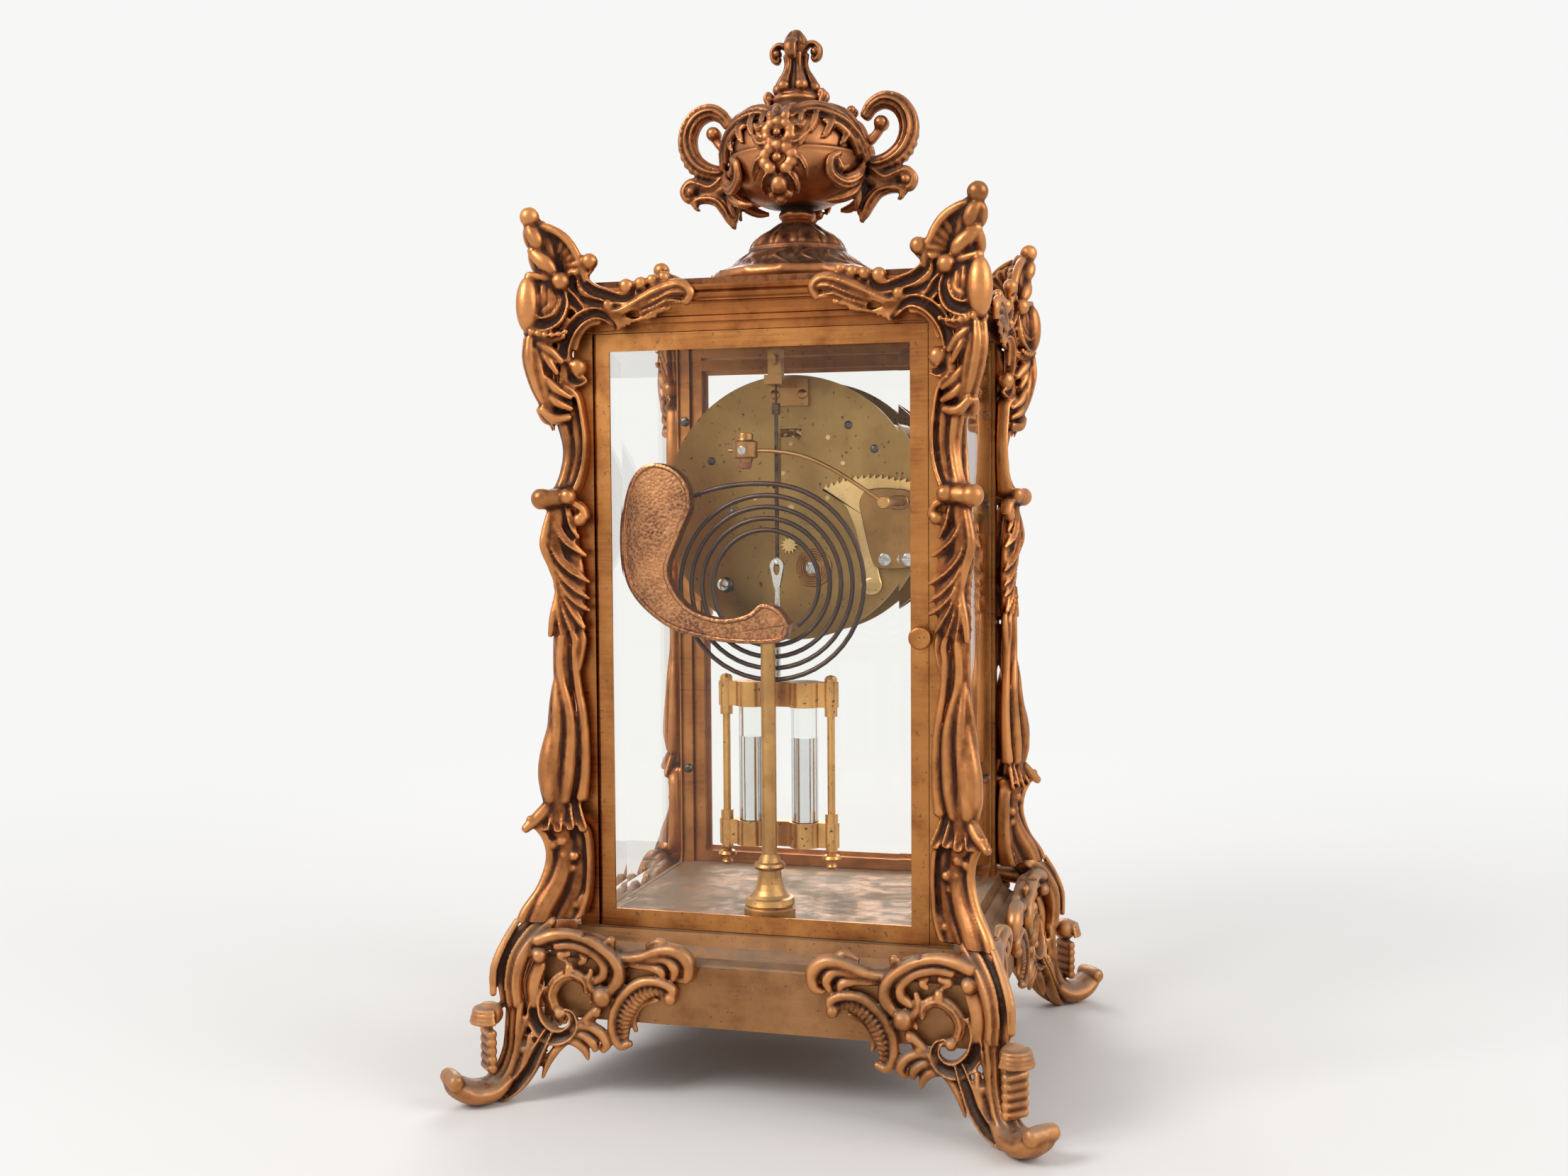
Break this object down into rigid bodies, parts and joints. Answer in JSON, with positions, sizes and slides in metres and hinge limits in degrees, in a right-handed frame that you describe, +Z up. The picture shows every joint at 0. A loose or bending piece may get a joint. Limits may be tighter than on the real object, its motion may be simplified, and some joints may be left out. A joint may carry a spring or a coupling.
{
  "type": "table clock",
  "caption": "Glass-sided table clock with cast scroll corner mounts and feet, opening front and back doors, twin-vial mercury pendulum, coiled gong, train and an urn finial.",
  "frame": {"origin": "on the floor under the middle of the case", "axes": "+Z up; the dial and front door face -Y; the back door, gong and pendulum are towards +Y"},
  "size_m": [0.268, 0.2424, 0.4714],
  "materials": {
    "gilt_bronze": "aged gilt, worn bright on high points and dark in recesses",
    "dark_bronze": "brown patina",
    "case_brass": "aged, stained",
    "dusty_base": "dull, dusty",
    "bevelled_glass": "clear, polished bevel",
    "movement_brass": "dull olive brass",
    "bright_brass": "polished",
    "blued_steel": "dark, oiled",
    "bright_steel": "polished",
    "enamel": "fired white enamel on copper",
    "mercury": "liquid silver",
    "vial_glass": "clear",
    "gong_steel": "black-brown",
    "gong_bronze": "coppery, hammered face"
  },
  "bodies": {
    "case": {"base_plinth": "dusty_base", "corner_posts": "case_brass", "cornice": "gilt_bronze", "top_plate": "dark_bronze", "side_glasses": "bevelled_glass", "door_hinge_pins": "blued_steel", "casting_back_left": "gilt_bronze", "casting_back_right": "gilt_bronze", "casting_front_left": "gilt_bronze", "casting_front_right": "gilt_bronze", "foot_back_left": "gilt_bronze", "foot_back_right": "gilt_bronze", "foot_front_left": "gilt_bronze", "foot_front_right": "gilt_bronze", "case_screws": "blued_steel", "urn_socle": "dark_bronze", "urn_body": "dark_bronze", "urn_bolt": "blued_steel", "urn_handles": "dark_bronze", "urn_finial": "dark_bronze", "dial_carrier": "movement_brass", "dial": "enamel", "bezel": "gilt_bronze", "front_plate": "movement_brass", "back_plate": "movement_brass", "plate_pillars": "movement_brass", "plate_nuts": "blued_steel", "suspension_cock": "blued_steel", "star_wheel": "bright_brass", "strike_bridge": "blued_steel", "gong_post": "movement_brass", "gong_bracket": "gong_bronze", "gong_coil": "gong_steel"},
    "back_door": {"back_door_frame": "case_brass", "back_door_glass": "bevelled_glass"},
    "back_latch": {"back_door_latch": "bright_brass"},
    "front_door": {"front_door_frame": "case_brass", "front_door_glass": "bevelled_glass"},
    "front_latch": {"front_door_latch": "bright_brass"},
    "time_barrel_body": {"time_barrel": "movement_brass"},
    "intermediate_body": {"intermediate_wheel": "bright_brass"},
    "centre_body": {"centre_wheel": "bright_brass", "minute_hand": "blued_steel"},
    "motion_body": {"motion_wheel": "bright_brass"},
    "hour_body": {"hour_hand": "blued_steel"},
    "third_body": {"third_wheel": "bright_brass"},
    "escape_body": {"escape_wheel": "bright_brass"},
    "pallets_body": {"pallets_crutch": "blued_steel"},
    "pendulum_body": {"pendulum_rod": "bright_steel", "pendulum_frames": "bright_brass", "pendulum_tie_rods": "bright_brass", "mercury_vials": "vial_glass", "mercury": "mercury"},
    "strike_barrel_body": {"strike_barrel": "movement_brass"},
    "pin_body": {"pin_wheel": "bright_brass"},
    "gathering_body": {"gathering_wheel": "bright_brass"},
    "fly_body": {"fly": "bright_brass"},
    "rack_body": {"rack": "bright_brass"},
    "hammer_body": {"hammer": "bright_brass"}
  },
  "joints": [
    {"name": "back_door_hinge", "type": "hinge", "parent": "case", "child": "back_door", "pos_m": [0.0715, 0.0684, 0.2], "axis": [0, 0, -1], "range_deg": [0, 88]},
    {"name": "back_latch_turn", "type": "hinge", "parent": "back_door", "child": "back_latch", "pos_m": [-0.0705, 0.07, 0.2005], "axis": [0, -1, 0], "range_deg": [0, 90]},
    {"name": "front_door_hinge", "type": "hinge", "parent": "case", "child": "front_door", "pos_m": [-0.0715, -0.0684, 0.2], "axis": [0, 0, -1], "range_deg": [0, 88]},
    {"name": "front_latch_turn", "type": "hinge", "parent": "front_door", "child": "front_latch", "pos_m": [0.0705, -0.07, 0.2005], "axis": [0, 1, 0], "range_deg": [0, 90]},
    {"name": "third_spin", "type": "hinge", "parent": "case", "child": "third_body", "pos_m": [0.00375, 0, 0.26984], "axis": [0, 1, 0], "continuous": true},
    {"name": "centre_spin", "type": "hinge", "parent": "case", "child": "centre_body", "pos_m": [0, 0, 0.254], "axis": [0, 1, 0], "continuous": true},
    {"name": "intermediate_spin", "type": "hinge", "parent": "case", "child": "intermediate_body", "pos_m": [0.01701, 0, 0.25845], "axis": [0, 1, 0], "continuous": true},
    {"name": "time_barrel_spin", "type": "hinge", "parent": "case", "child": "time_barrel_body", "pos_m": [0.026, 0, 0.234], "axis": [0, 1, 0], "continuous": true},
    {"name": "escape_spin", "type": "hinge", "parent": "case", "child": "escape_body", "pos_m": [0, 0, 0.283], "axis": [0, 1, 0], "continuous": true},
    {"name": "motion_spin", "type": "hinge", "parent": "case", "child": "motion_body", "pos_m": [-0.00604, 0, 0.26446], "axis": [0, 1, 0], "continuous": true},
    {"name": "hour_spin", "type": "hinge", "parent": "case", "child": "hour_body", "pos_m": [0, 0, 0.254], "axis": [0, 1, 0], "continuous": true},
    {"name": "gathering_spin", "type": "hinge", "parent": "case", "child": "gathering_body", "pos_m": [-0.02423, 0, 0.27393], "axis": [0, 1, 0], "continuous": true},
    {"name": "pin_wheel_spin", "type": "hinge", "parent": "case", "child": "pin_body", "pos_m": [-0.01701, 0, 0.25845], "axis": [0, 1, 0], "continuous": true},
    {"name": "strike_barrel_spin", "type": "hinge", "parent": "case", "child": "strike_barrel_body", "pos_m": [-0.026, 0, 0.234], "axis": [0, 1, 0], "continuous": true},
    {"name": "fly_spin", "type": "hinge", "parent": "case", "child": "fly_body", "pos_m": [-0.01747, 0, 0.28564], "axis": [0, 1, 0], "continuous": true},
    {"name": "pendulum_swing", "type": "hinge", "parent": "case", "child": "pendulum_body", "pos_m": [0, 0.038, 0.306], "axis": [0, 1, 0], "range_deg": [-3, 3]},
    {"name": "crutch_swing", "type": "hinge", "parent": "case", "child": "pallets_body", "pos_m": [0, 0, 0.296], "axis": [0, 1, 0], "range_deg": [-5, 5]},
    {"name": "rack_swing", "type": "hinge", "parent": "case", "child": "rack_body", "pos_m": [-0.0375, 0, 0.2195], "axis": [0, 1, 0], "range_deg": [0, 6]},
    {"name": "hammer_swing", "type": "hinge", "parent": "case", "child": "hammer_body", "pos_m": [-0.05, 0, 0.256], "axis": [0, 1, 0], "range_deg": [-8, 0]}
  ],
  "couplings": [
    {"joint": "centre_spin", "follows": "third_spin", "ratio": -0.125},
    {"joint": "intermediate_spin", "follows": "third_spin", "ratio": 0.020833},
    {"joint": "time_barrel_spin", "follows": "third_spin", "ratio": -0.0034722},
    {"joint": "escape_spin", "follows": "third_spin", "ratio": -7.5},
    {"joint": "motion_spin", "follows": "third_spin", "ratio": 0.041667},
    {"joint": "hour_spin", "follows": "third_spin", "ratio": -0.010417},
    {"joint": "pin_wheel_spin", "follows": "gathering_spin", "ratio": -0.13333},
    {"joint": "strike_barrel_spin", "follows": "gathering_spin", "ratio": 0.022222},
    {"joint": "fly_spin", "follows": "gathering_spin", "ratio": -7},
    {"joint": "crutch_swing", "follows": "pendulum_swing", "ratio": 1.35}
  ]
}
